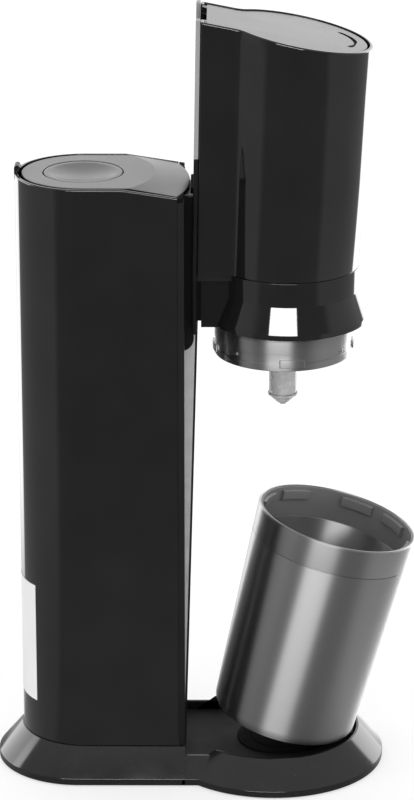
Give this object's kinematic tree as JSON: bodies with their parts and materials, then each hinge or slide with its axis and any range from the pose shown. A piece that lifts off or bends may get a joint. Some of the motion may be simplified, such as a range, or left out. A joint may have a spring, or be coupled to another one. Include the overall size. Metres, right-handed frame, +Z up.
{
  "type": "sparkling water maker",
  "caption": "Carbonating machine: gas column on a low base, sliding head with press plate, nozzle and locking ring, and a steel vessel that tips forward.",
  "frame": {"origin": "on the floor, at the middle of the whole object's length and width", "axes": "+X to the front, where the vessel tips out; +Y to the object's left; +Z up"},
  "size_m": [0.287, 0.1536, 0.5285],
  "materials": {
    "base_plastic": "satin, fine grain",
    "plate_plastic": "matte",
    "rubber": "matte",
    "fastener_steel": "plain",
    "frame_plastic": "satin",
    "rail_metal": "satin",
    "cylinder_metal": "brushed",
    "brass": "plain",
    "gloss_black": "glossy",
    "lid_grey": "satin",
    "label_white": "satin, bare",
    "dark_plastic": "satin",
    "strip_grey": "satin",
    "top_plate": "satin",
    "pale_plastic": "satin",
    "hose_white": "satin",
    "steel": "brushed round",
    "collar_grey": "satin"
  },
  "bodies": {
    "stand": {"base_shell": "base_plastic", "base_plate": "plate_plastic", "rubber_feet": "rubber", "base_screws": "fastener_steel", "rest_pad": "rubber", "tilt_pin": "fastener_steel", "column_spine": "plate_plastic", "front_frame": "frame_plastic", "guide_rail": "rail_metal", "rail_strip": "frame_plastic", "frame_screws": "fastener_steel", "gas_cylinder": "cylinder_metal", "cylinder_valve": "brass", "cylinder_seat": "rubber", "valve_block": "plate_plastic", "valve_washer": "rubber", "burst_cap": "brass", "actuator_pin": "fastener_steel", "actuator_spring": "fastener_steel"},
    "valve_stem_body": {"valve_stem": "fastener_steel"},
    "actuator": {"actuator_lever": "fastener_steel"},
    "rear_cover": {"column_cover": "gloss_black", "top_lid": "lid_grey", "rating_label": "label_white", "rear_tab": "dark_plastic", "release_spring": "fastener_steel"},
    "release": {"release_button": "lid_grey"},
    "head": {"head_shell": "gloss_black", "head_back": "strip_grey", "head_chassis": "plate_plastic", "head_saddle": "dark_plastic", "saddle_pads": "pale_plastic", "carriage_block": "dark_plastic", "head_collar": "gloss_black", "collar_gasket": "rubber", "chassis_screws": "fastener_steel", "button_pin": "fastener_steel", "button_springs": "fastener_steel", "gas_tube": "hose_white", "relief_valve": "brass", "nozzle_hub": "plate_plastic", "nozzle_tube": "pale_plastic", "nozzle_tip": "pale_plastic", "neck_seal": "rubber"},
    "ring": {"locking_ring": "steel", "ring_screws": "fastener_steel"},
    "top_button": {"carbonation_button": "top_plate"},
    "vessel": {"vessel_shell": "steel", "vessel_band": "steel", "vessel_collar": "collar_grey", "vessel_liner": "steel", "vessel_foot": "dark_plastic"}
  },
  "joints": [
    {"name": "head_slide", "type": "slide", "parent": "stand", "child": "head", "axis": [0, 0, -1], "range_m": [0, 0.1432]},
    {"name": "vessel_tilt", "type": "hinge", "parent": "stand", "child": "vessel", "pos_m": [0.10131, 0, 0.01557], "axis": [0, -1, 0], "range_deg": [0, 13.9]},
    {"name": "locking_ring_turn", "type": "hinge", "parent": "head", "child": "ring", "pos_m": [0.05229, 0, 0.296], "axis": [0, 0, 1], "range_deg": [0, 12]},
    {"name": "carbonation_button_press", "type": "hinge", "parent": "head", "child": "top_button", "pos_m": [0.00859, 0, 0.5155], "axis": [0, 1, 0], "range_deg": [0, 2.2], "stiffness_Nm_per_rad": 16, "springref_deg": -1.15, "deforming": ["button_springs"]},
    {"name": "actuator_press", "type": "hinge", "parent": "stand", "child": "actuator", "pos_m": [-0.06271, 0, 0.376], "axis": [0, -1, 0], "range_deg": [0, 3.2], "stiffness_Nm_per_rad": 2, "springref_deg": -0.57, "deforming": ["actuator_spring"]},
    {"name": "valve_stem_press", "type": "slide", "parent": "stand", "child": "valve_stem_body", "axis": [0, 0, -1], "range_m": [0, 0.001]},
    {"name": "rear_cover_slide", "type": "slide", "parent": "stand", "child": "rear_cover", "axis": [-1, 0, 0], "range_m": [0, 0.12]},
    {"name": "release_button_press", "type": "slide", "parent": "rear_cover", "child": "release", "axis": [0, 0, -1], "range_m": [0, 0.003], "stiffness_N_per_m": 1500, "springref_m": -0.002, "deforming": ["release_spring"]}
  ],
  "couplings": [
    {"joint": "vessel_tilt", "follows": "head_slide", "rad_per_m": 1.6941},
    {"joint": "actuator_press", "follows": "carbonation_button_press", "ratio": 1.4545},
    {"joint": "valve_stem_press", "follows": "carbonation_button_press", "m_per_rad": 0.02589}
  ]
}
